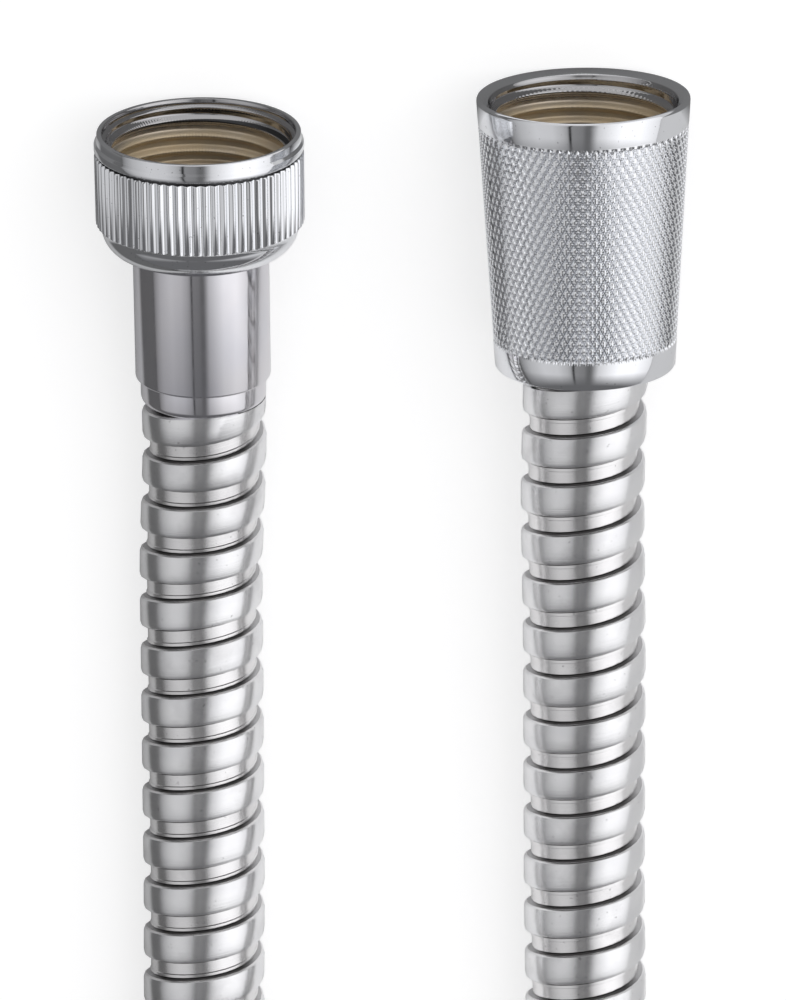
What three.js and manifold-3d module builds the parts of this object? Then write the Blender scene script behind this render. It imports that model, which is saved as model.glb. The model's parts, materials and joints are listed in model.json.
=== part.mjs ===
// A flexible metal shower hose, laid on a flat surface. Millimetres, +Z up.
// Both end fittings point along +Y. The hose runs back along -Y into a round coil held by two ties.
// Each fitting is turned about its own +Y axis with its mouth at 0, so depths inside it are negative.
import * as THREE from "three";
import { mergeGeometries, mergeVertices } from "three/addons/utils/BufferGeometryUtils.js";
import Module from "manifold-3d";

const wasm = await Module();
wasm.setup();

// Clearances
const RUN_GAP = 0.3; // between neighbours that turn or seat on each other
const ROUND_GAP = 0.45; // between round walls, whose facets come closer than their radii say

// Pipe thread of both nuts, half inch: radii of its crests and roots
const THREAD_MINOR_R = 9.32;
const THREAD_MAJOR_R = 10.48;
const THREAD_LENGTH = 8;

// Hose
const HOSE_R = 7;
const STRAIGHT_OUT = 6; // straight run of the hose behind each fitting's crimp
const ARMOUR_WALL = 1.3;
const TUBE_WALL = 1.35;
const TUBE_R = HOSE_R - ARMOUR_WALL - ROUND_GAP;
const TUBE_BORE_R = TUBE_R - TUBE_WALL;

// Fluted swivel nut, on the valve end
const FLUTED = {
  length: 14.0,
  wall: 1.07, // outside the thread's roots
  rimBevel: 0.8,
  rimBevelDrop: 0.4,
  ringEnd: 2.0,
  recessDepth: 0.4,
  recessWidth: 0.35,
  fluteEnd: 10.5,
  fluteCount: 70,
  fluteDepth: 0.35,
  fluteGapWidth: 0.8,
  taperEnd: 11.9,
  taperDrop: 0.55,
  tailWall: 0.4,
  bevelBulge: 0.35,
};

// Knurled conical swivel nut, on the handset end
const CONE = {
  length: 31.1,
  mouthR: 11.85,
  tailR: 10.1,
  mouthBand: 3,
  tailBand: 2.95,
  edge: 0.35,
  knurlAround: 44,
  knurlRows: 9,
  knurlDepth: 0.4,
};

// What both nuts share
const COUNTERBORE_R = THREAD_MAJOR_R + 0.2;
const COUNTERBORE_DEPTH = 1.2;

// Sealing washers, one in each nut
const WASHER_THICKNESS = 1.7;
const WASHER_BORE_R = 5.4;

// Brass inserts: a flange behind the washer and a barbed nipple inside the inner tube
const INSERT = {
  flangeThickness: 1.3,
  wall: 0.8,
  barbLength: 14,
  barbCount: 4,
  barbPitch: 3,
  barbDepth: 0.25,
};

// Crimped ferrule behind the fluted nut
const FERRULE = {
  outerR: 7.6,
  exposed: 14.9,
  noseR: 7.05,
  noseLength: 3,
  edge: 0.35,
};

// Crimp sleeve and glide ring hidden in the conical nut
const SLEEVE = { outerR: 7.75, length: 15 };
const GLIDE = { thickness: 0.9, outerR: 9.0 };

// How the two fittings lie: mouth at [x, y] and heading of the axis, both chosen from the picture
const FLUTED_LIE = { x: -21.45, y: 14, noseUpDeg: 7, yawDeg: 0.3 };
const CONE_LIE = { x: 21, y: 17.8, yawDeg: 1 };

// Coil of the length that is put away: three strands in a bundle, wound round this centre
const COIL = {
  x: 0,
  y: -197.5,
  middleR: 67.5,
  bundleHeight: 27,
  bundleHalfWidth: 15.1,
  cornerR: 9,
};
const TIE = {
  width: 8,
  thickness: 0.95,
  strandsDeg: [-41, -161, 79], // where the three strands stand round the bundle's middle
};

// Centre line of the uncoiled hose at each end, from just behind the fitting to the coil
const VALVE_LEAD = [
  [-21.5, -37.4, 7.01],
  [-21.6, -47.2, 7],
  [-21.8, -57, 7],
  [-21.9, -66.8, 7],
  [-22, -76.5, 7],
  [-22.1, -86.3, 7],
  [-22.3, -96.1, 7.01],
  [-23.7, -105.8, 7.22],
  [-26.7, -115, 7.57],
  [-31.3, -123.6, 7.95],
  [-37.4, -131.3, 8.27],
  [-44.6, -137.8, 8.4],
];
const HANDSET_LEAD = [
  [21.6, -28.5, 9.23],
  [21.7, -38.2, 8.68],
  [21.8, -47.9, 8.14],
  [21.9, -57.6, 7.59],
  [22, -67.3, 7.1],
  [22.1, -77, 7],
  [22.1, -86.7, 7],
  [22.3, -96.4, 7.02],
  [23.7, -106, 7.22],
  [26.8, -115.2, 7.57],
  [31.4, -123.8, 7.96],
  [37.4, -131.4, 8.27],
  [44.6, -137.8, 8.4],
];

// Facets of round pieces
const ROUND = 32;
const HOSE_SIDES = 12;
const HOSE_STEP = 14;
const COIL_FACETS = 48;

const rad = THREE.MathUtils.degToRad;
const v2 = (r, y) => new THREE.Vector2(r, y);

// Materials
const finish = (color, roughness, metalness) =>
  new THREE.MeshStandardMaterial({ color, roughness, metalness });
const chrome = finish(0xd4d6da, 0.08, 1);
const steel = finish(0xb4b5b8, 0.28, 1);
const brass = finish(0xb98f45, 0.35, 1);
const rubber = finish(0x1c1c1e, 0.8, 0);
const liner = finish(0xdadad4, 0.5, 0);
const acetal = finish(0xf0eee8, 0.45, 0);
const tieFinish = finish(0x2a2a2c, 0.7, 0);

// Turning and booleans

// A closed outline of [r, y] points, listed up the outside and down the bore, turned about Y.
function turned(outline, facets = ROUND) {
  const points = outline.map(([r, y]) => v2(r, y));
  points.push(points[0].clone());
  return new THREE.LatheGeometry(points, facets);
}

function solidOf(geometry) {
  const bare = geometry.clone();
  bare.deleteAttribute("normal");
  bare.deleteAttribute("uv");
  const merged = mergeVertices(bare, 1e-4);
  return new wasm.Manifold(
    new wasm.Mesh({
      numProp: 3,
      vertProperties: merged.attributes.position.array,
      triVerts: new Uint32Array(merged.index.array),
    }),
  );
}

function geometryOf(solid) {
  const mesh = solid.getMesh();
  const geometry = new THREE.BufferGeometry();
  geometry.setAttribute("position", new THREE.BufferAttribute(mesh.vertProperties, 3));
  geometry.setIndex(new THREE.BufferAttribute(mesh.triVerts, 1));
  return geometry;
}

const cut = (geometry, cutter) =>
  geometryOf(solidOf(geometry).subtract(solidOf(cutter)));

function piece(name, geometry, material) {
  const mesh = new THREE.Mesh(geometry, material);
  mesh.name = name;
  return mesh;
}

// Places that several pieces share
const flutedR = THREAD_MAJOR_R + FLUTED.wall;
const washerFront = -THREAD_LENGTH;
const washerBack = washerFront - WASHER_THICKNESS;
const flangeFront = washerBack - RUN_GAP;
const flangeBack = flangeFront - INSERT.flangeThickness;
const crimpFront = flangeBack - RUN_GAP;
const flangeR = THREAD_MINOR_R - RUN_GAP; // of the washer and of the insert's flange
const nippleR = TUBE_BORE_R - ROUND_GAP;
const crimpBoreR = TUBE_R + ROUND_GAP;
const ferruleShoulder = -FLUTED.length - FERRULE.exposed;
const ferruleEnd = ferruleShoulder - FERRULE.noseLength;
const sleeveEnd = crimpFront - SLEEVE.length;
const tieLift = ROUND_GAP + TIE.thickness;
const strandR = (2 * HOSE_R) / Math.sqrt(3); // from the bundle's middle to each strand's

// Fluted nut

function flutedNut(lipFront) {
  const n = FLUTED;
  const tailBoreR = FERRULE.outerR + RUN_GAP;
  const bandStart = n.ringEnd + n.recessWidth;
  const tailR = tailBoreR + n.tailWall;
  const taperR = flutedR - n.taperDrop;
  const bevelMidR = (taperR + tailR) / 2 + n.bevelBulge;
  const body = turned([
    [tailBoreR, -n.length],
    [tailR, -n.length],
    [bevelMidR, -(n.taperEnd + n.length) / 2],
    [taperR, -n.taperEnd],
    [flutedR, -n.fluteEnd],
    [flutedR, -bandStart],
    [flutedR - n.recessDepth, -bandStart],
    [flutedR - n.recessDepth, -n.ringEnd],
    [flutedR, -n.ringEnd],
    [flutedR, -n.rimBevel],
    [flutedR - n.rimBevelDrop, 0],
    [COUNTERBORE_R, 0],
    [COUNTERBORE_R, -COUNTERBORE_DEPTH],
    [THREAD_MINOR_R, -COUNTERBORE_DEPTH - (COUNTERBORE_R - THREAD_MINOR_R)],
    [THREAD_MINOR_R, lipFront],
    [tailBoreR, lipFront],
  ], n.fluteCount);
  return cut(body, fluteCutters(bandStart));
}

// One three-sided groove for each flute, running from the recess to the end of the flutes.
function fluteCutters(bandStart) {
  const n = FLUTED;
  const halfWidth = n.fluteGapWidth / 2;
  const overshoot = n.fluteDepth * 0.7;
  const section = new THREE.Shape([
    v2(-halfWidth, overshoot),
    v2(0, -n.fluteDepth),
    v2(halfWidth, overshoot),
  ]);
  const length = n.fluteEnd - bandStart + n.recessWidth / 2;
  const groove = new THREE.ExtrudeGeometry(section, { depth: length, bevelEnabled: false });
  groove.translate(0, flutedR * Math.cos(Math.PI / n.fluteCount), 0);
  groove.rotateX(-Math.PI / 2);
  // The section now stands off the axis along -Z and the groove runs up +Y.
  groove.translate(0, -n.fluteEnd, 0);
  const copies = [];
  for (let i = 0; i < n.fluteCount; i++) {
    const angle = ((i + 0.5) / n.fluteCount) * 2 * Math.PI;
    copies.push(groove.clone().rotateY(angle));
  }
  return mergeGeometries(copies);
}

// Conical nut

// A closed ring of rows about Y. rows holds functions of the column, each giving [r, y].
// Each quad is split from its lower corner to its lower corner, so that raised points stay sharp.
function ringOfRows(rows, columns) {
  const positions = [];
  const radii = [];
  for (const row of rows)
    for (let c = 0; c < columns; c++) {
      const [r, y] = row(c);
      const angle = (c / columns) * 2 * Math.PI;
      positions.push(r * Math.cos(angle), y, r * Math.sin(angle));
      radii.push(r);
    }
  const index = [];
  rows.forEach((_, j) => {
    const next = (j + 1) % rows.length;
    for (let c = 0; c < columns; c++) {
      const a = j * columns + c;
      const b = j * columns + ((c + 1) % columns);
      const d = next * columns + c;
      const e = next * columns + ((c + 1) % columns);
      if (radii[a] + radii[e] < radii[b] + radii[d]) index.push(a, d, e, a, e, b);
      else index.push(a, d, b, b, d, e);
    }
  });
  const geometry = new THREE.BufferGeometry();
  geometry.setAttribute("position", new THREE.Float32BufferAttribute(positions, 3));
  geometry.setIndex(index);
  return geometry;
}

function coneNut(lipFront) {
  const n = CONE;
  const boreR = SLEEVE.outerR + RUN_GAP;
  const wallR = (y) => THREE.MathUtils.mapLinear(y, 0, -n.length, n.mouthR, n.tailR);
  const plain = (r, y) => () => [r, y];
  const knurlStart = -n.length + n.tailBand;
  const knurlEnd = -n.mouthBand;
  const rows = [
    plain(boreR, -n.length),
    plain(n.tailR - n.edge, -n.length),
    plain(wallR(-n.length + n.edge), -n.length + n.edge),
    plain(wallR(knurlStart), knurlStart),
  ];
  // Raised points and low corners alternate along each row and from row to row.
  const steps = 2 * n.knurlRows;
  for (let j = 1; j < steps; j++) {
    const y = THREE.MathUtils.lerp(knurlStart, knurlEnd, j / steps);
    rows.push((c) => [wallR(y) - ((c + j) % 2 ? n.knurlDepth : 0), y]);
  }
  rows.push(
    plain(wallR(knurlEnd), knurlEnd),
    plain(wallR(-n.edge), -n.edge),
    plain(n.mouthR - n.edge, 0),
    plain(COUNTERBORE_R, 0),
    plain(COUNTERBORE_R, -COUNTERBORE_DEPTH),
    plain(THREAD_MINOR_R, -COUNTERBORE_DEPTH - (COUNTERBORE_R - THREAD_MINOR_R)),
    plain(THREAD_MINOR_R, lipFront),
    plain(boreR, lipFront),
  );
  return ringOfRows(rows, 2 * n.knurlAround);
}

// Pieces inside the nuts

function washer() {
  return turned([
    [WASHER_BORE_R, washerBack],
    [flangeR, washerBack],
    [flangeR, washerFront],
    [WASHER_BORE_R, washerFront],
  ]);
}

function insert() {
  const boreR = nippleR - INSERT.wall;
  const rootR = nippleR - INSERT.barbDepth;
  const end = crimpFront - INSERT.barbLength;
  const outline = [
    [boreR, end],
    [rootR, end],
  ];
  // Each barb rises slowly towards the flange and drops sharply.
  for (let i = 0; i < INSERT.barbCount; i++) {
    const top = end + (i + 1) * INSERT.barbPitch;
    outline.push([nippleR, top], [rootR, top + INSERT.barbDepth]);
  }
  outline.push(
    [rootR, flangeBack],
    [flangeR, flangeBack],
    [flangeR, flangeFront],
    [boreR, flangeFront],
  );
  return turned(outline);
}

function ferrule() {
  const f = FERRULE;
  return turned([
    [crimpBoreR, ferruleEnd],
    [f.noseR - f.edge, ferruleEnd],
    [f.noseR, ferruleEnd + f.edge],
    [f.noseR, ferruleShoulder],
    [f.outerR - f.edge, ferruleShoulder],
    [f.outerR, ferruleShoulder + f.edge],
    [f.outerR, crimpFront],
    [crimpBoreR, crimpFront],
  ]);
}

function crimpSleeve() {
  return turned([
    [crimpBoreR, sleeveEnd],
    [SLEEVE.outerR, sleeveEnd],
    [SLEEVE.outerR, crimpFront],
    [crimpBoreR, crimpFront],
  ]);
}

function glideRing() {
  const boreR = SLEEVE.outerR + RUN_GAP;
  const back = crimpFront - GLIDE.thickness;
  return turned([
    [boreR, back],
    [GLIDE.outerR, back],
    [GLIDE.outerR, crimpFront],
    [boreR, crimpFront],
  ]);
}

// Hose

const circle = (r) => {
  const points = [];
  for (let i = 0; i < HOSE_SIDES; i++) {
    const a = (i / HOSE_SIDES) * 2 * Math.PI;
    points.push(v2(r * Math.cos(a), r * Math.sin(a)));
  }
  return points;
};

function pipe(points, outerR, boreR) {
  const curve = new THREE.CatmullRomCurve3(points, false, "centripetal");
  const section = new THREE.Shape(circle(outerR));
  section.holes.push(new THREE.Path(circle(boreR)));
  const steps = Math.round(curve.getLength() / HOSE_STEP);
  return new THREE.ExtrudeGeometry(section, { steps, extrudePath: curve, bevelEnabled: false });
}

// Section of the coiled bundle, as [x, z] points round a rounded box.
function bundleOutline(grow) {
  const half = COIL.bundleHalfWidth + grow;
  const low = tieLift - grow;
  const high = tieLift + COIL.bundleHeight + grow;
  const corner = COIL.cornerR + grow;
  const arcSteps = 4;
  const centres = [
    [half - corner, low + corner, -90],
    [half - corner, high - corner, 0],
    [corner - half, high - corner, 90],
    [corner - half, low + corner, 180],
  ];
  return centres.flatMap(([x, z, startDeg]) =>
    Array.from({ length: arcSteps + 1 }, (_, i) => {
      const a = rad(startDeg + (90 * i) / arcSteps);
      return [x + corner * Math.cos(a), z + corner * Math.sin(a)];
    }),
  );
}

// A closed section of [x, z] points, x from the middle of the bundle, turned round the coil's axis.
function coilSolid(section) {
  const ring = turned(section.map(([x, z]) => [COIL.middleR + x, z]), COIL_FACETS);
  ring.rotateX(Math.PI / 2);
  ring.translate(COIL.x, COIL.y, 0);
  return ring;
}

// The space that the leads stop at, which reaches below and above the coil.
function coilSpace() {
  const half = COIL.bundleHalfWidth + RUN_GAP;
  const high = 2 * COIL.bundleHeight;
  return coilSolid([
    [-half, -HOSE_R],
    [half, -HOSE_R],
    [half, high],
    [-half, high],
  ]);
}

// The tight outline round the three strands at a tie, each grown by a clearance.
function strandHull(grow) {
  const places = TIE.strandsDeg.map(rad);
  const lowest = Math.min(...places.map(Math.sin));
  const discs = places.map((place) =>
    wasm.CrossSection.circle(HOSE_R + grow, ROUND).translate(
      -strandR * Math.cos(place),
      strandR * (Math.sin(place) - lowest) + HOSE_R + tieLift,
    ),
  );
  return wasm.CrossSection.hull(discs);
}

// A section of the bundle made into a slab across it, side being -1 or 1.
const acrossBundle = (section, side, width) =>
  section
    .extrude(width)
    .rotate(90, 0, 0)
    .translate(COIL.x + side * COIL.middleR, COIL.y + width / 2, 0);

// A strap drawn round the strands.
function coilTie(side) {
  const strap = strandHull(ROUND_GAP + TIE.thickness).subtract(strandHull(ROUND_GAP));
  return geometryOf(acrossBundle(strap, side, TIE.width));
}

// The coil, drawn in to the strands under each strap.
function tiedCoil() {
  const size = 2 * (COIL.bundleHalfWidth + HOSE_R);
  const room = wasm.CrossSection.square([size, size], true).translate(0, COIL.bundleHeight / 2);
  const outside = room.subtract(strandHull(0));
  const width = TIE.width + 2 * RUN_GAP;
  const ring = solidOf(coilSolid(bundleOutline(0)));
  const drawnIn = [-1, 1].map((side) => acrossBundle(outside, side, width));
  return geometryOf(ring.subtract(wasm.Manifold.union(drawnIn)));
}

// Assembly

// A group whose +Y axis is the fitting's, with its mouth at the height that lays it on the surface.
function fittingGroup(lie, noseUp, mouthHeight) {
  const group = new THREE.Group();
  group.rotation.set(noseUp, 0, rad(lie.yawDeg), "ZXY");
  group.position.set(lie.x, lie.y, mouthHeight);
  group.updateMatrix();
  return group;
}

// The fluted nut leans on the last of its flutes, and the conical nut lies along its side.
const flutedNoseUp = rad(FLUTED_LIE.noseUpDeg);
const flutedFitting = fittingGroup(
  FLUTED_LIE,
  flutedNoseUp,
  flutedR * Math.cos(flutedNoseUp) + FLUTED.fluteEnd * Math.sin(flutedNoseUp),
);
const coneNoseUp = Math.atan2(CONE.mouthR - CONE.tailR, CONE.length);
const coneFitting = fittingGroup(CONE_LIE, coneNoseUp, CONE.mouthR * Math.cos(coneNoseUp));

flutedFitting.add(
  piece("fluted_nut", flutedNut(crimpFront), chrome),
  piece("valve_washer", washer(), rubber),
  piece("valve_insert", insert(), brass),
  piece("valve_ferrule", ferrule(), chrome),
);
coneFitting.add(
  piece("cone_nut", coneNut(crimpFront - GLIDE.thickness - RUN_GAP), chrome),
  piece("handset_washer", washer(), rubber),
  piece("handset_insert", insert(), brass),
  piece("glide_ring", glideRing(), acetal),
  piece("handset_sleeve", crimpSleeve(), steel),
);

const part = new THREE.Group();
part.add(flutedFitting, coneFitting);

// Armour and inner tube run straight out of the fitting, then along the chosen points.
function addLead(fitting, armourFront, points, endName) {
  const onAxis = (y) => new THREE.Vector3(0, y, 0).applyMatrix4(fitting.matrix);
  const straight = [onAxis(armourFront), onAxis(armourFront - STRAIGHT_OUT)];
  const route = [...straight, ...points.map((p) => new THREE.Vector3(...p))];
  const armour = pipe(route, HOSE_R, HOSE_R - ARMOUR_WALL);
  const tube = pipe([onAxis(crimpFront), ...route], TUBE_R, TUBE_BORE_R);
  part.add(
    piece("armour_" + endName, cut(armour, coilSpace()), steel),
    piece("inner_tube_" + endName, cut(tube, coilSpace()), liner),
  );
}

addLead(flutedFitting, ferruleEnd - RUN_GAP, VALVE_LEAD, "valve_end");
addLead(coneFitting, sleeveEnd - RUN_GAP, HANDSET_LEAD, "handset_end");

part.add(
  piece("hose_coil", tiedCoil(), steel),
  piece("coil_tie_left", coilTie(-1), tieFinish),
  piece("coil_tie_right", coilTie(1), tieFinish),
);

export default part;
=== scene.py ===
import json
import math

import bmesh
import bpy
import numpy as np
from mathutils import Matrix, Vector


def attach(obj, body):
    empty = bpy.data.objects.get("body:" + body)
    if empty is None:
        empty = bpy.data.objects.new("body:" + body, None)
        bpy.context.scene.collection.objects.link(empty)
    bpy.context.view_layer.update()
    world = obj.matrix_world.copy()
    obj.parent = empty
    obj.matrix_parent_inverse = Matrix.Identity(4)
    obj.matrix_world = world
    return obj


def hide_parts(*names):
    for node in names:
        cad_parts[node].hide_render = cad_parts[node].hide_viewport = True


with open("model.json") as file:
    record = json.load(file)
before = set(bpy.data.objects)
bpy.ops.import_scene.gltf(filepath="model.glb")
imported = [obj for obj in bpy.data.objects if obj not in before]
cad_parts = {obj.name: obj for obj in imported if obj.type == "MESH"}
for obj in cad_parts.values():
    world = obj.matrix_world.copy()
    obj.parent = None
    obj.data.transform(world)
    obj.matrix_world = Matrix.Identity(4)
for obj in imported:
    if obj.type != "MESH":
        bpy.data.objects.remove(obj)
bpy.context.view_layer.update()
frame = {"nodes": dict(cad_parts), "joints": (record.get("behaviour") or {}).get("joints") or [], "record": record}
NODES = frame["nodes"]
JOINTS = {j["name"]: j for j in frame["joints"]}
MM = 0.001

# Camera, set by the picture's two mouths and the hose widths
LOOK_AT = Vector((0, -30.1, 7)) * MM
CAMERA_DISTANCE = 680 * MM
CAMERA_LEAN = math.radians(16.2)  # how far it stands from straight above, towards the mouths
LENS_MM = 216
SENSOR_MM = 36

# Hose, in millimetres like all shapes below
HOSE_R = 7.0
ARMOUR_PITCH = 5.713
WINDING_START = 0.463  # turns, where the strip begins round the hose
AROUND = 32  # steps of the winding in one turn
BAND_PROFILE = [  # [along the hose from the middle of the raised band, radius], one winding
    (-1.6, 6.9),
    (-1.2, 7.0),
    (1.2, 7.0),
    (1.6, 6.9),
    (1.77, 6.66),
    (1.9, 6.05),
    (1.99, 6.16),
    (3.3, 6.14),
    (3.38, 6.26),
    (3.71, 6.24),
    (3.8, 6.05),
    (3.93, 6.66),
]
GAP_FACES = (4, 5, 9, 10)  # strips of the profile in the open gap beside a band, painted dark as shade

# Ends of the hose on the axes of the two fittings, mouth at 0
VALVE_START = -31.5
HANDSET_START = -26.9
STRAIGHT_OUT = 6.0  # each end leaves its fitting straight for this far

# The uncoiled hose at each end, and the coil's centre and turns
VALVE_LEAD = [
    (-21.8, -37.4, 7.01),
    (-21.8, -47.2, 7.0),
    (-21.8, -57.0, 7.0),
    (-21.8, -66.8, 7.0),
    (-21.8, -76.5, 7.0),
    (-21.9, -86.3, 7.0),
    (-22.1, -96.1, 7.01),
    (-23.6, -105.8, 7.22),
    (-26.7, -115.0, 7.57),
    (-31.3, -123.6, 7.95),
    (-37.4, -131.3, 8.27),
    (-44.6, -137.8, 8.4),
]
HANDSET_LEAD = [
    (21.4, -28.5, 9.23),
    (21.6, -38.2, 8.68),
    (21.8, -47.9, 8.14),
    (21.9, -57.6, 7.59),
    (22.0, -67.3, 7.1),
    (22.1, -77.0, 7.0),
    (22.3, -86.7, 7.0),
    (22.6, -96.4, 7.02),
    (23.9, -106.0, 7.22),
    (26.8, -115.2, 7.57),
    (31.4, -123.8, 7.96),
    (37.4, -131.4, 8.27),
    (44.6, -137.8, 8.4),
]
COIL_Y = -197.5
COIL_R = 67.5
COIL_LIFT = 1.4  # room for the straps under the coil
STRANDS = 3
BUNDLE_R = 2 * HOSE_R / math.sqrt(3)  # from the bundle's middle to each strand's
COIL_POINTS_PER_TURN = 36
ROUTE_STEP = 1.0
SPAN_STEPS = 24  # fine places between two points of the route

THREAD_PITCH = 1.814
THREAD_MINOR_R = 9.6
THREAD_MAJOR_R = 10.25
THREAD_TO = -7.7  # where it ends, from the mouth
THREAD_ROWS = 20  # in one turn
THREAD_CHATTER = 0.035  # fine tool marks on the crests
FLUTES = 70
FLUTE_DEPTH = 0.36
FLUTE_COLUMNS = 10  # steps across one flute
KNURLS = 72
KNURL_ROWS = 15
KNURL_DEPTH = 0.33
KNURL_CELLS = 6  # steps across one diamond
KNURL_GROOVE = 0.55  # share of a diamond's half width that its rounded edge takes

# Straps round the coil
TIE_WIDTH = 8.0
TIE_THICK = 0.75
TIE_SLACK = 0.2
TIE_STEPS = 120  # round the bundle
TIE_LAP = 26  # of those steps, lapped over the start
TIE_TIP = 6  # steps over which the free end narrows
TIE_RAMP = 8  # steps over which the strap rises onto itself

# Tones of the plated pieces
CHROME = (0.9, 0.91, 0.93)
FERRULE_TONES = (0.74, 0.735, 0.775), (0.79, 0.775, 0.795)

# Floor, in metres
FLOOR_HALF = 1.6
FLOOR_TONE = 0.5
FLOOR_LIFT = 0.62  # glow that only the camera sees, which turns the floor white


# Route of the hose

def on_axis(joint, depth):
    """The point at a depth behind a nut's mouth, on its axis, in mm."""
    place = np.array(JOINTS[joint]["pos_m"]) / MM
    return place + depth * np.array(JOINTS[joint]["axis"])


def smoothstep(t):
    t = np.clip(t, 0, 1)
    return t * t * (3 - 2 * t)


def coil_points():
    """Three strands in a bundle: each turn takes the next place round the bundle's middle."""
    start = math.atan2(VALVE_LEAD[-1][1] - COIL_Y, VALVE_LEAD[-1][0])
    swept = 2 * math.pi - 2 * (start - math.pi / 2)  # where all three strands lie side by side
    total = swept + (STRANDS - 1) * 2 * math.pi
    count = round(total / (2 * math.pi) * COIL_POINTS_PER_TURN)
    points = []
    for i in range(1, count):
        turned = total * i / count
        whole, part = divmod(turned, 2 * math.pi)
        share = float(smoothstep(part / swept))
        place = -math.pi / 6 - 2 * math.pi / 3 * (whole + share)
        lowest = min(math.sin(place + 2 * math.pi / 3 * k) for k in range(STRANDS))
        r = COIL_R + BUNDLE_R * math.cos(place)
        z = HOSE_R + COIL_LIFT + BUNDLE_R * (math.sin(place) - lowest)
        angle = start + turned
        points.append((r * math.cos(angle), COIL_Y + r * math.sin(angle), z))
    return points


def spline(points, step):
    """A centripetal curve through the points, as places a step apart."""
    p = np.array(points, float)
    p = np.vstack([2 * p[0] - p[1], p, 2 * p[-1] - p[-2]])
    knots = np.concatenate([[0], np.cumsum(np.linalg.norm(np.diff(p, axis=0), axis=1) ** 0.5)])
    fine = []
    for i in range(1, len(p) - 2):
        t0, t1, t2, t3 = knots[i - 1:i + 3]
        t = np.linspace(t1, t2, SPAN_STEPS, endpoint=False)[:, None]
        a1 = (t1 - t) / (t1 - t0) * p[i - 1] + (t - t0) / (t1 - t0) * p[i]
        a2 = (t2 - t) / (t2 - t1) * p[i] + (t - t1) / (t2 - t1) * p[i + 1]
        a3 = (t3 - t) / (t3 - t2) * p[i + 1] + (t - t2) / (t3 - t2) * p[i + 2]
        b1 = (t2 - t) / (t2 - t0) * a1 + (t - t0) / (t2 - t0) * a2
        b2 = (t3 - t) / (t3 - t1) * a2 + (t - t1) / (t3 - t1) * a3
        fine.append((t2 - t) / (t2 - t1) * b1 + (t - t1) / (t2 - t1) * b2)
    fine = np.vstack(fine + [p[-2:-1]])
    along = np.concatenate([[0], np.cumsum(np.linalg.norm(np.diff(fine, axis=0), axis=1))])
    at = np.linspace(0, along[-1], max(2, round(along[-1] / step)))
    return np.column_stack([np.interp(at, along, fine[:, k]) for k in range(3)]), at


def frames(path):
    """Two directions square to the path at each place, turning as little as they can."""
    ahead = np.gradient(path, axis=0)
    ahead /= np.linalg.norm(ahead, axis=1)[:, None]
    side = np.cross(ahead[0], (0, 0, 1.0))
    side /= np.linalg.norm(side)
    sides = [side]
    for t in ahead[1:]:
        side = side - t * (side @ t)
        side /= np.linalg.norm(side)
        sides.append(side)
    sides = np.array(sides)
    return sides, np.cross(ahead, sides)


def hose_route():
    valve = "fluted_nut_turn"
    handset = "cone_nut_turn"
    points = [on_axis(valve, VALVE_START), on_axis(valve, VALVE_START - STRAIGHT_OUT)]
    points += VALVE_LEAD + coil_points() + HANDSET_LEAD[::-1]
    points += [on_axis(handset, HANDSET_START - STRAIGHT_OUT), on_axis(handset, HANDSET_START)]
    return spline(points, ROUTE_STEP)


# Meshes

def new_object(name, verts, faces, slots, sharp_deg=35):
    mesh = bpy.data.meshes.new(name)
    mesh.from_pydata([tuple(v) for v in np.asarray(verts) * MM], [], faces)
    for material in slots:
        mesh.materials.append(material)
    mesh.update()
    obj = bpy.data.objects.new(name, mesh)
    bpy.context.scene.collection.objects.link(obj)
    mesh.shade_smooth()
    mesh.set_sharp_from_angle(angle=math.radians(sharp_deg))
    return obj


def armour(path, at, slots):
    """The wound and interlocked strip, as one profile carried round and along the hose."""
    sides, ups = frames(path)
    length = at[-1]
    count = int(math.ceil(length / ARMOUR_PITCH * AROUND)) + AROUND
    n = len(BAND_PROFILE)
    w = np.array([p[0] for p in BAND_PROFILE])
    r = np.array([p[1] for p in BAND_PROFILE])
    i = np.arange(-AROUND, count)
    raw = i[:, None] * ARMOUR_PITCH / AROUND + w[None, :]
    s = np.clip(raw, 0, length)
    angle = (i / AROUND + WINDING_START) * 2 * math.pi
    place = np.stack([np.interp(s, at, path[:, k]) for k in range(3)], -1)
    side = np.stack([np.interp(s, at, sides[:, k]) for k in range(3)], -1)
    up = np.stack([np.interp(s, at, ups[:, k]) for k in range(3)], -1)
    ring = np.cos(angle)[:, None, None] * side + np.sin(angle)[:, None, None] * up
    verts = place + r[None, :, None] * ring
    inside = (raw > 0) & (raw < length)
    faces, dark = [], []
    for a in range(len(i) - 1):
        for k in range(n):
            if k < n - 1:
                quad = ((a, k), (a, k + 1), (a + 1, k + 1), (a + 1, k))
            elif a + AROUND + 1 < len(i):
                quad = ((a, k), (a + AROUND, 0), (a + AROUND + 1, 0), (a + 1, k))
            else:
                continue
            if any(inside[q] for q in quad):
                faces.append([x * n + y for x, y in quad])
                # Faces in the gap strips take the second slot, the painted gap shade
                dark.append(k in GAP_FACES)
    obj = new_object("armoured_hose", verts.reshape(-1, 3), faces, slots)
    obj.data.polygons.foreach_set("material_index", np.array(dark, np.int32))
    # How far each point faces up; the painted gap shade is lighter where this is low, on the flanks
    upward = obj.data.attributes.new("upward", "FLOAT", "POINT")
    upward.data.foreach_set("value", np.abs(ring[..., 2]).ravel())
    strip = obj.data.uv_layers.new(name="strip")
    turn = np.repeat(i, n) / AROUND
    across = np.tile(w / ARMOUR_PITCH, len(i))
    loops = np.zeros(len(obj.data.loops), np.int32)
    obj.data.loops.foreach_get("vertex_index", loops)
    strip.data.foreach_set("uv", np.column_stack([turn[loops], across[loops]]).ravel())
    return tidy(obj)


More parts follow.
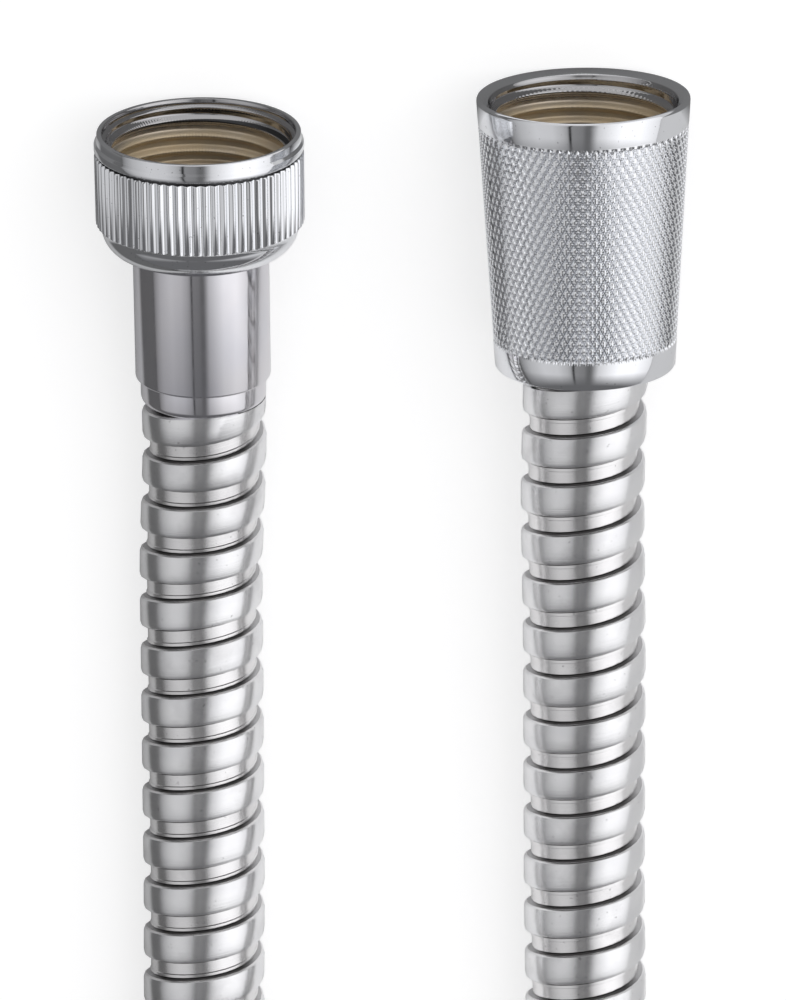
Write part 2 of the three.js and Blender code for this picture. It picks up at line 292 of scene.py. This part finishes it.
def tidy(obj):
    """Drops faces without area and loose points, and turns all faces out."""
    bm = bmesh.new()
    bm.from_mesh(obj.data)
    bmesh.ops.remove_doubles(bm, verts=bm.verts, dist=1e-6)
    bmesh.ops.dissolve_degenerate(bm, dist=1e-6, edges=bm.edges)
    loose = [v for v in bm.verts if not v.link_faces]
    bmesh.ops.delete(bm, geom=loose, context="VERTS")
    bmesh.ops.recalc_face_normals(bm, faces=bm.faces)
    bm.to_mesh(obj.data)
    bm.free()
    return obj


def fitting_matrix(joint):
    """Local +Y is the joint's axis, with 0 at the nut's mouth."""
    axis = Vector(JOINTS[joint]["axis"]).normalized()
    side = axis.cross(Vector((0, 0, 1))).normalized()
    up = side.cross(axis)
    turn = Matrix((side, axis, up)).transposed().to_4x4()
    return Matrix.Translation(Vector(JOINTS[joint]["pos_m"])) @ turn


def turned_piece(
    name, joint, rows, columns, slots, bore_from=None, slot_of_row=None, sharp_deg=35,
):
    """A closed ring of rows about the joint's axis.

    Each row is [radius, y], each a number or one value a column. Rows from bore_from on are inside.
    """
    angle = np.arange(columns) * 2 * math.pi / columns
    rings = []
    for r, y in rows:
        r = np.broadcast_to(r, columns)
        y = np.broadcast_to(y, columns)
        rings.append(np.column_stack([r * np.cos(angle), y, r * np.sin(angle)]))
    radii = np.array([np.broadcast_to(r, columns) for r, _ in rows])
    faces, index = [], []
    m = len(rows)
    for j in range(m):
        k = (j + 1) % m
        plain = np.ptp(radii[j]) < 1e-9 and np.ptp(radii[k]) < 1e-9
        slot = slot_of_row(rows[j][1]) if slot_of_row else 0
        for c in range(columns):
            d = (c + 1) % columns
            a, b, e, f = j * columns + c, j * columns + d, k * columns + c, k * columns + d
            if plain:
                new = [[a, e, f, b]]
            elif radii[j, c] + radii[k, d] < radii[j, d] + radii[k, c]:
                new = [[a, e, f], [a, f, b]]
            else:
                new = [[a, e, b], [b, e, f]]
            faces += new
            index += [slot] * len(new)
    obj = new_object(name, np.vstack(rings), faces, slots, sharp_deg=sharp_deg)
    obj.data.polygons.foreach_set("material_index", np.array(index, np.int32))
    obj.data.transform(fitting_matrix(joint))
    obj.data.update()
    depth = obj.data.attributes.new("depth", "FLOAT", "POINT")
    depth.data.foreach_set("value", np.repeat([float(np.mean(y)) for _, y in rows], columns))
    inner = obj.data.attributes.new("bore", "FLOAT", "POINT")
    bored = [0.0 if bore_from is None or j < bore_from else 1.0 for j in range(m)]
    inner.data.foreach_set("value", np.repeat(bored, columns))
    return obj


def arc(r0, y0, radius, from_deg, to_deg, steps):
    """Rows on an arc about [r0, y0], for a rounded edge."""
    out = []
    for i in range(steps + 1):
        a = math.radians(from_deg + (to_deg - from_deg) * i / steps)
        out.append((r0 + radius * math.cos(a), y0 + radius * math.sin(a)))
    return out


def thread_rows(columns, start):
    """The internal thread: its crests come in over the first millimetre."""
    angle = np.arange(columns) / columns
    rows = []
    for y in np.arange(start, THREAD_TO, -THREAD_PITCH / THREAD_ROWS):
        phase = (y / THREAD_PITCH + angle + 0.5) % 1.0
        root = smoothstep(1.3 - 2.6 * np.abs(phase - 0.5))
        lead_in = float(smoothstep(start - y))
        crest_r = THREAD_MAJOR_R - (THREAD_MAJOR_R - THREAD_MINOR_R) * lead_in
        fade = float(smoothstep((y - THREAD_TO) / 0.6))
        chatter = THREAD_CHATTER * (np.arange(columns) % 4 < 2) * (1 - root)
        rows.append((crest_r + (THREAD_MAJOR_R - crest_r) * root * fade + chatter, y))
    return rows


def bore_rows(columns, step, seat, tail_bore):
    """From the step behind the rim down the thread to the seat at the tail's narrower bore."""
    return [
        (THREAD_MAJOR_R + 0.04, step - 0.2),
        *thread_rows(columns, step - 0.24),
        (THREAD_MINOR_R, THREAD_TO - 0.05),
        (THREAD_MINOR_R, seat),
        (tail_bore, seat),
    ]


def fluted_nut(slots):
    columns = FLUTES * FLUTE_COLUMNS
    across = np.abs((np.arange(columns) % FLUTE_COLUMNS) / FLUTE_COLUMNS * 2 - 1)
    length, outer, lip, counterbore = 14.0, 11.62, 11.3, 10.68
    tail, tail_bore, seat = 8.3, 7.9, -11.6
    ring_end, band, flute_end, step = -2.0, -2.35, -10.5, -0.65
    ribs = outer - FLUTE_DEPTH * (1 - np.cos(across * math.pi)) / 2
    rib_ends = np.minimum(ribs, outer - 0.16)
    groove = outer - FLUTE_DEPTH - 0.04
    rows = [(tail_bore, -length), (tail - 0.15, -length), (tail, -length + 0.08)]
    # Smooth shoulder, a little convex, that the ribs stand out from
    for t in np.linspace(0.1, 1, 9):
        swell = math.sin(t * math.pi / 2) ** 0.8
        rows.append((tail + 2.72 * swell, -length + 0.1 + 3.2 * t ** 1.5))
    rows += [
        (groove, flute_end - 0.03),
        (rib_ends, flute_end),
        (ribs, flute_end + 0.16),
        (ribs, band - 0.2),
        (rib_ends, band - 0.02),
        (groove, band + 0.01),
        (groove, ring_end - 0.05),
        (outer - 0.14, ring_end - 0.03),
        (outer - 0.04, ring_end + 0.02),
        (outer, ring_end + 0.14),
        (outer, -1.3),
        (outer - 0.03, -1.2),
        (lip + 0.07, -0.98),
        (lip + 0.04, -0.88),
        (lip, -0.14),
        (lip - 0.06, -0.03),
        (lip - 0.18, 0.0),
        (counterbore + 0.18, 0.0),
    ]
    outside = len(rows)
    rows += [(counterbore + 0.08, -0.03), (counterbore + 0.03, -0.12), (counterbore, step)]
    rows += bore_rows(columns, step, seat, tail_bore)
    return turned_piece(
        "fluted_swivel_nut", "fluted_nut_turn", rows, columns, slots, bore_from=outside,
        slot_of_row=lambda y: int(band - 0.01 < np.mean(y) < ring_end - 0.04), sharp_deg=48,
    )


def cone_nut(slots):
    columns = KNURLS * KNURL_CELLS
    mouth, tail, length = 11.85, 10.1, 31.1
    top, bottom = -3.0, -length + 2.95  # ends of the knurl
    counterbore, step, seat, tail_bore = 10.46, -0.75, -12.8, 8.05

    def wall(y):
        return mouth + (tail - mouth) * -y / length

    rows = [
        (tail_bore, -length),
        (tail - 0.3, -length),
        (tail - 0.1, -length + 0.06),
        (wall(-length + 0.25), -length + 0.25),
        (wall(bottom), bottom - 0.12),
        (wall(bottom) - 0.02, bottom - 0.04),
    ]
    steps = KNURL_ROWS * KNURL_CELLS
    c = np.arange(columns) / KNURL_CELLS
    for j in range(steps + 1):
        y = bottom + (top - bottom) * j / steps
        u = j / KNURL_CELLS
        one = np.abs((c + u + 0.5) % 1.0 - 0.5) * 2
        two = np.abs((c - u + 0.5) % 1.0 - 0.5) * 2
        # Each diamond is a low dome between narrow grooves.
        low = np.minimum(one, two)
        height = 1 - (1 - np.clip(low / KNURL_GROOVE, 0, 1)) ** 2
        edge = min(1.0, min(j, steps - j) / 2)
        rows.append((wall(y) - KNURL_DEPTH * (1 - height) * edge - 0.02, y))
    rows += [
        (wall(top) - 0.02, top + 0.04),
        (wall(top), top + 0.12),
        (wall(-0.5), -0.5),
        (wall(-0.28) - 0.03, -0.28),
        (mouth - 0.12, -0.12),
        (mouth - 0.25, -0.02),
        (mouth - 0.35, 0.0),
        (mouth - 0.45, -0.03),
        (counterbore + 0.14, -0.5),
    ]
    outside = len(rows)
    rows += [(counterbore + 0.04, -0.58), (counterbore, step + 0.05)]
    rows += bore_rows(columns, step, seat, tail_bore)
    return turned_piece(
        "cone_swivel_nut", "cone_nut_turn", rows, columns, slots, bore_from=outside,
    )


def ferrule(slots):
    front, shoulder, end = -11.6, -28.9, -31.9
    outer, nose, bore = 7.6, 7.05, 5.7
    nose_round, edge_round = 0.9, 0.28
    rows = [(bore, end), (6.3, end)]
    rows += arc(nose - nose_round, end + nose_round, nose_round, -75, 0, 6)
    rows += [(nose, shoulder - 0.12), (nose + 0.07, shoulder - 0.03), (nose + 0.15, shoulder)]
    rows += arc(outer - edge_round, shoulder + edge_round, edge_round, -60, 0, 3)
    rows += [(outer, front - 0.15), (outer - 0.15, front), (bore, front)]
    return turned_piece("crimped_ferrule", "fluted_nut_turn", rows, 128, slots)


# Coil ties

def hull(points):
    """The outline round a set of points in a plane, anticlockwise."""
    points = sorted(set(map(tuple, np.round(points, 6))))

    def half(seq):
        out = []
        for p in seq:
            while len(out) > 1:
                (ax, ay), (bx, by) = out[-2], out[-1]
                if (bx - ax) * (p[1] - ay) - (by - ay) * (p[0] - ax) > 0:
                    break
                out.pop()
            out.append(p)
        return out[:-1]

    return np.array(half(points) + half(points[::-1]))


def coil_tie(name, side, path, slots):
    """A flat strap round the three strands at one side of the coil, its end lapped over itself."""
    near = path[(np.abs(path[:, 1] - COIL_Y) < 0.75) & (side * path[:, 0] > 20)]
    ring = np.linspace(0, 2 * math.pi, 48, endpoint=False)
    disc = np.column_stack([np.cos(ring), np.sin(ring)])
    strands = np.vstack([p[[0, 2]] + disc * (HOSE_R + TIE_SLACK) for p in near])
    inner = hull(strands)
    loop = np.vstack([inner, inner[:1]])
    along = np.concatenate([[0], np.cumsum(np.linalg.norm(np.diff(loop, axis=0), axis=1))])
    at = np.linspace(0, along[-1], TIE_STEPS + 1)[:-1]
    inner = np.column_stack([np.interp(at, along, loop[:, k]) for k in range(2)])
    ahead = np.roll(inner, -1, 0) - np.roll(inner, 1, 0)
    out = np.column_stack([ahead[:, 1], -ahead[:, 0]])
    out /= np.linalg.norm(out, axis=1)[:, None]
    # The lap starts at the top of the bundle and runs outward
    top = int(np.argmax(inner[:, 1]))
    verts, faces = [], []
    turns = [*range(TIE_STEPS), *range(TIE_LAP)]
    count = len(turns)
    for q, k in enumerate(turns):
        i = (top + side * k) % TIE_STEPS
        lift = TIE_THICK * float(smoothstep((q - TIE_STEPS + TIE_RAMP) / TIE_RAMP)) * 1.02
        half = TIE_WIDTH / 2 * (1 - 0.12 * max(0, q - count + TIE_TIP))
        for t, h in ((lift, -1), (lift, 1), (lift + TIE_THICK, 1), (lift + TIE_THICK, -1)):
            p = inner[i] + out[i] * t
            verts.append((p[0], COIL_Y + h * half, p[1]))
    for q in range(count - 1):
        a, b = q * 4, q * 4 + 4
        for k in range(4):
            m = (k + 1) % 4
            faces.append([a + k, a + m, b + m, b + k])
    last = count * 4
    faces += [[0, 1, 2, 3], [last - 1, last - 2, last - 3, last - 4]]
    obj = new_object(name, verts, faces, slots, sharp_deg=50)
    tidy(obj)
    bevel = obj.modifiers.new("edges", "BEVEL")
    bevel.width = 0.18 * MM
    bevel.segments = 2
    bevel.limit_method = "ANGLE"
    return obj


# Materials

def material(name, color, roughness, metallic=0.0):
    m = bpy.data.materials.new(name)
    m.use_nodes = True
    shader = m.node_tree.nodes["Principled BSDF"]
    shader.inputs["Base Color"].default_value = (*color, 1)
    shader.inputs["Roughness"].default_value = roughness
    shader.inputs["Metallic"].default_value = metallic
    return m, m.node_tree, shader


def grey(tone):
    return (tone, tone, tone, 1)


def node(tree, kind, inputs=None, **settings):
    n = tree.nodes.new(kind)
    for key, value in settings.items():
        setattr(n, key, value)
    for key, value in (inputs or {}).items():
        if isinstance(value, bpy.types.NodeSocket):
            tree.links.new(value, n.inputs[key])
        else:
            n.inputs[key].default_value = value
    return n


def mix_color(tree, factor, a, b):
    n = node(tree, "ShaderNodeMix", data_type="RGBA")
    for key, value in (("Factor", factor), ("A", a), ("B", b)):
        socket = next(s for s in n.inputs if s.name == key and s.enabled)
        if isinstance(value, bpy.types.NodeSocket):
            tree.links.new(value, socket)
        else:
            socket.default_value = value
    return next(s for s in n.outputs if s.enabled)


def remap(tree, value, a, b, c, d):
    return node(
        tree, "ShaderNodeMapRange",
        {"Value": value, "From Min": a, "From Max": b, "To Min": c, "To Max": d},
    ).outputs["Result"]


def arithmetic(tree, operation, a, b):
    return node(tree, "ShaderNodeMath", {0: a, 1: b}, operation=operation).outputs[0]


def place(tree):
    return node(tree, "ShaderNodeTexCoord").outputs["Object"]


def noise(tree, scale, detail, vector=None):
    return node(
        tree, "ShaderNodeTexNoise",
        {"Vector": vector or place(tree), "Scale": scale, "Detail": detail},
    ).outputs["Fac"]


def bump(tree, shader, height, distance, strength):
    n = node(tree, "ShaderNodeBump", {"Height": height, "Strength": strength, "Distance": distance})
    tree.links.new(n.outputs["Normal"], shader.inputs["Normal"])


def attribute(tree, name):
    return node(tree, "ShaderNodeAttribute", attribute_name=name).outputs["Fac"]


def nut_chrome():
    """Polished chrome with a few specks, painted greyer in the bore as painted shade, and worn to brass deep in
    it.
    """
    m, tree, shader = material("polished_chrome", CHROME, 0.07, 1.0)
    specks = remap(tree, noise(tree, 2600, 1.0), 0.73, 0.76, 0.0, 0.7)
    nut_tone = mix_color(tree, specks, (*CHROME, 1), (0.5, 0.5, 0.51, 1))
    # Painted shade: the bore's surfaces are painted a duller grey than the outside
    bored = attribute(tree, "bore")
    nut_tone = mix_color(tree, bored, nut_tone, (0.52, 0.515, 0.52, 1))
    deep = remap(tree, attribute(tree, "depth"), -2.2, -3.8, 0.0, 1.0)
    patches = remap(tree, noise(tree, 260, 3.0), 0.3, 0.7, 0.75, 1.0)
    worn = arithmetic(tree, "MULTIPLY", arithmetic(tree, "MULTIPLY", deep, bored), patches)
    color = mix_color(tree, worn, nut_tone, (0.72, 0.585, 0.39, 1))
    tree.links.new(color, shader.inputs["Base Color"])
    tree.links.new(remap(tree, worn, 0, 1, 1.0, 0.75), shader.inputs["Metallic"])
    polish = remap(tree, noise(tree, 900, 2.0), 0.35, 0.75, 0.05, 0.1)
    rough = arithmetic(tree, "ADD", remap(tree, worn, 0, 1, 0.0, 0.48), polish)
    tree.links.new(rough, shader.inputs["Roughness"])
    bump(tree, shader, noise(tree, 420, 2.0), 0.00001, 0.35)
    return m


def ferrule_chrome():
    dark, light = FERRULE_TONES
    m, tree, shader = material("ferrule_chrome", dark, 0.1, 1.0)
    clouds = remap(tree, noise(tree, 120, 2.0), 0.35, 0.65, 0, 1)
    tree.links.new(mix_color(tree, clouds, (*dark, 1), (*light, 1)), shader.inputs["Base Color"])
    polish = remap(tree, noise(tree, 700, 2.0), 0.3, 0.7, 0.08, 0.13)
    tree.links.new(polish, shader.inputs["Roughness"])
    bump(tree, shader, noise(tree, 300, 2.0), 0.00001, 0.3)
    return m


def stretched_noise(tree, vector, scale, detail):
    mapped = node(tree, "ShaderNodeMapping", {"Vector": vector, "Scale": scale})
    return noise(tree, 1.0, detail, mapped.outputs[0])


def armour_steel():
    """Satin strip with fine lines along its winding, tones that change a little, and smudges."""
    m, tree, shader = material("satin_steel", (0.9, 0.895, 0.895), 0.22, 1.0)
    uv = node(tree, "ShaderNodeUVMap", uv_map="strip").outputs["UV"]
    lines = stretched_noise(tree, uv, (3.0, 90.0, 1.0), 3.0)
    tone = stretched_noise(tree, uv, (9.0, 1.5, 1.0), 2.0)
    share = remap(tree, tone, 0.3, 0.7, 0, 1)
    color = mix_color(tree, share, (0.86, 0.86, 0.87, 1), (0.94, 0.94, 0.94, 1))
    # Painted shade: the sunk floor beside each band is tinted a little darker and warmer
    across = node(tree, "ShaderNodeSeparateXYZ", {"Vector": uv}).outputs["Y"]
    recess = remap(tree, across, 0.32, 0.34, 0.0, 0.5)
    color = mix_color(tree, recess, color, (0.88, 0.86, 0.85, 1))
    smudges = remap(tree, noise(tree, 190, 4.0), 0.55, 0.75, 0.0, 0.35)
    color = mix_color(tree, smudges, color, (0.5, 0.49, 0.49, 1))
    specks = remap(tree, noise(tree, 1900, 1.0), 0.72, 0.78, 0.0, 0.4)
    color = mix_color(tree, specks, color, (0.3, 0.29, 0.29, 1))
    tree.links.new(color, shader.inputs["Base Color"])
    tree.links.new(remap(tree, lines, 0.3, 0.7, 0.14, 0.23), shader.inputs["Roughness"])
    bump(tree, shader, lines, 0.000016, 0.6)
    return m


def gap_painted_shade():
    """The open gap beside each raised band: painted shade, dark with a grain where it faces up, and a lighter
    painted tone on the hose's flanks.
    """
    m, tree, shader = material("gap_shadow", (0.13, 0.125, 0.125), 0.5, 1.0)
    grain = noise(tree, 500, 2.0)
    deep = mix_color(tree, grain, (0.09, 0.088, 0.09, 1), (0.17, 0.165, 0.16, 1))
    flank = remap(tree, attribute(tree, "upward"), 0.35, 0.7, 0.0, 1.0)
    tone = mix_color(tree, flank, (0.6, 0.595, 0.6, 1), deep)
    tree.links.new(tone, shader.inputs["Base Color"])
    return m


def plain_noise(name, low, high, roughness, scale, metallic=0.0):
    """A material whose tone and surface vary a little over a scale."""
    m, tree, shader = material(name, low, roughness, metallic)
    grain = noise(tree, scale, 3.0)
    tree.links.new(mix_color(tree, grain, (*low, 1), (*high, 1)), shader.inputs["Base Color"])
    bump(tree, shader, grain, 0.00002, 0.4)
    return m


# Stage and light

def azimuth_ramp(tree, vector, stops):
    """A grey by the direction round the Y axis, from -180 to 180 degrees, 0 being up."""
    parts = node(tree, "ShaderNodeSeparateXYZ", {"Vector": vector})
    turn = arithmetic(tree, "ARCTAN2", parts.outputs["X"], parts.outputs["Z"])
    share = remap(tree, turn, -math.pi, math.pi, 0.0, 1.0)
    ramp = node(tree, "ShaderNodeValToRGB", {"Fac": share})
    band = ramp.color_ramp
    band.interpolation = "LINEAR"
    while len(band.elements) > 1:
        band.elements.remove(band.elements[-1])
    for i, (deg, tone) in enumerate(stops):
        at = deg / 360 + 0.5
        e = band.elements[0] if i == 0 else band.elements.new(at)
        e.position = at
        e.color = (tone, tone, tone * 1.02, 1)
    return ramp.outputs["Color"], parts.outputs["Y"]


def studio_world():
    """Tall soft panels beside the hose with a dark slot between them, as chrome shows them."""
    world = bpy.data.worlds.new("studio")
    bpy.context.scene.world = world
    world.use_nodes = True
    tree = world.node_tree
    direction = node(tree, "ShaderNodeTexCoord").outputs["Generated"]
    color, y = azimuth_ramp(tree, direction, [
        (-94, 0.1), (-86, 0.3), (-76, 0.46), (-55, 0.62), (-36, 0.6), (-24, 0.46), (-18.5, 0.34),
        (-17.5, 0.02), (-15.5, 0.02),
        (-14.5, 0.25), (-3, 0.21), (2, 0.13), (6, 0.14), (9, 0.3),
        (15, 0.66), (28, 0.9), (42, 1.12), (66, 1.12), (80, 0.96), (92, 0.8),
    ])
    towards = remap(tree, y, 0.55, 0.9, 0.0, 1.0)
    away = remap(tree, y, -0.45, -0.75, 0.0, 1.0)
    color = mix_color(tree, towards, color, (0.7, 0.7, 0.71, 1))
    color = mix_color(tree, away, color, (0.13, 0.13, 0.135, 1))
    tree.links.new(color, tree.nodes["Background"].inputs["Color"])


def area_light(name, energy, size, spot, target):
    """A soft light that polished pieces don't mirror."""
    data = bpy.data.lights.new(name, "AREA")
    data.energy = energy
    data.shape = "RECTANGLE"
    data.size, data.size_y = size
    lamp = bpy.data.objects.new(name, data)
    bpy.context.scene.collection.objects.link(lamp)
    lamp.location = spot
    lamp.rotation_euler = (Vector(target) - Vector(spot)).to_track_quat("-Z", "Y").to_euler()
    lamp.visible_glossy = False


def floor():
    """A white floor, whose colour for glossy rays is painted in other greys by place: painted reflections that
    only polished pieces see.
    """
    mesh = bpy.data.meshes.new("floor")
    corners = [(-1, -1), (1, -1), (1, 1), (-1, 1)]
    mesh.from_pydata([(x * FLOOR_HALF, y * FLOOR_HALF, 0) for x, y in corners], [], [[0, 1, 2, 3]])
    obj = bpy.data.objects.new("floor", mesh)
    bpy.context.scene.collection.objects.link(obj)
    m, tree, shader = material("floor_white", (FLOOR_TONE,) * 3, 0.9)
    shader.inputs["Specular IOR Level"].default_value = 0.0
    spot = node(tree, "ShaderNodeSeparateXYZ", {"Vector": place(tree)})
    across, ahead = spot.outputs["X"], spot.outputs["Y"]
    # Painted reflection across the picture: dark beside the hose, then middling, pale between its two ends,
    # middling
    painted_reflection = mix_color(tree, remap(tree, across, -0.024, -0.018, 0.0, 1.0), grey(0.55), grey(0.95))
    painted_reflection = mix_color(tree, remap(tree, across, 0.031, 0.037, 0.0, 1.0), painted_reflection, grey(0.66))
    painted_reflection = mix_color(tree, remap(tree, across, -0.048, -0.042, 1.0, 0.0), painted_reflection, grey(0.15))
    # A painted dark reflection in a strip under and ahead of the mouths
    begun = remap(tree, ahead, 0.0105, 0.014, 0.0, 1.0)
    not_ended = remap(tree, ahead, 0.036, 0.042, 1.0, 0.0)
    painted_reflection = mix_color(tree, arithmetic(tree, "MULTIPLY", begun, not_ended), painted_reflection, grey(0.2))
    rays = node(tree, "ShaderNodeLightPath").outputs
    # Glossy rays see the painted reflection greys; other rays see the plain floor tone
    tone = mix_color(tree, rays["Is Glossy Ray"], grey(FLOOR_TONE), painted_reflection)
    tree.links.new(tone, shader.inputs["Base Color"])
    shader.inputs["Emission Color"].default_value = grey(1)
    lift = arithmetic(tree, "MULTIPLY", rays["Is Camera Ray"], FLOOR_LIFT)
    tree.links.new(lift, shader.inputs["Emission Strength"])
    mesh.materials.append(m)


def camera():
    back = Vector((0, math.sin(CAMERA_LEAN), math.cos(CAMERA_LEAN)))
    up = Vector((0, math.cos(CAMERA_LEAN), -math.sin(CAMERA_LEAN)))
    data = bpy.data.cameras.new("camera")
    data.lens = LENS_MM
    data.sensor_width = SENSOR_MM
    data.sensor_fit = "AUTO"
    data.clip_start = 0.02
    obj = bpy.data.objects.new("camera", data)
    bpy.context.scene.collection.objects.link(obj)
    turn = Matrix((Vector((1, 0, 0)), up, back)).transposed().to_4x4()
    obj.matrix_world = Matrix.Translation(LOOK_AT + back * CAMERA_DISTANCE) @ turn
    bpy.context.scene.camera = obj


# Scene

camera()
path, at = hose_route()
steel, gap = armour_steel(), gap_painted_shade()
hose = armour(path, at, [steel, gap])
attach(hose, "hose")
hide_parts("armour_valve_end", "armour_handset_end", "hose_coil")

strap = plain_noise("strap_black", (0.02, 0.02, 0.022), (0.05, 0.05, 0.054), 0.6, 900)
for name, side in (("coil_tie_left", -1), ("coil_tie_right", 1)):
    tie = coil_tie(name.replace("coil", "strap"), side, path, [strap])
    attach(tie, "hose")
    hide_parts(name)

chrome = nut_chrome()
shade = plain_noise("groove_shadow", (0.05, 0.05, 0.052), (0.09, 0.09, 0.092), 0.35, 700, 1.0)
for make, node_name, body in (
    (fluted_nut, "fluted_nut", "fluted_swivel"),
    (cone_nut, "cone_nut", "cone_swivel"),
):
    nut = make([chrome, shade])
    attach(nut, body)
    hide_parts(node_name)

collar = ferrule([ferrule_chrome()])
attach(collar, "hose")
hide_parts("valve_ferrule")

CARRIED = {
    "washer_rubber": plain_noise("rubber", (0.012, 0.012, 0.013), (0.03, 0.03, 0.032), 0.65, 800),
    "insert_brass": plain_noise("brass", (0.62, 0.45, 0.2), (0.7, 0.52, 0.26), 0.28, 500, 1.0),
    "glide_plastic": plain_noise("acetal", (0.84, 0.83, 0.8), (0.88, 0.87, 0.84), 0.4, 400),
    "sleeve_steel": plain_noise("sleeve_steel", (0.5, 0.5, 0.51), (0.6, 0.6, 0.61), 0.35, 600, 1.0),
    "tube_liner": plain_noise("liner", (0.78, 0.78, 0.74), (0.86, 0.86, 0.83), 0.45, 300),
}
for entry in frame["record"]["subparts"]:
    if entry["material_slot"] in CARRIED:
        mesh = NODES[entry["node"]].data
        mesh.materials.clear()
        mesh.materials.append(CARRIED[entry["material_slot"]])

studio_world()
area_light("top_soft", 6.0, (1.2, 1.2), (0.15, 0.2, 1.1), (0, -0.05, 0))
floor()
bpy.context.scene.view_settings.view_transform = "Standard"
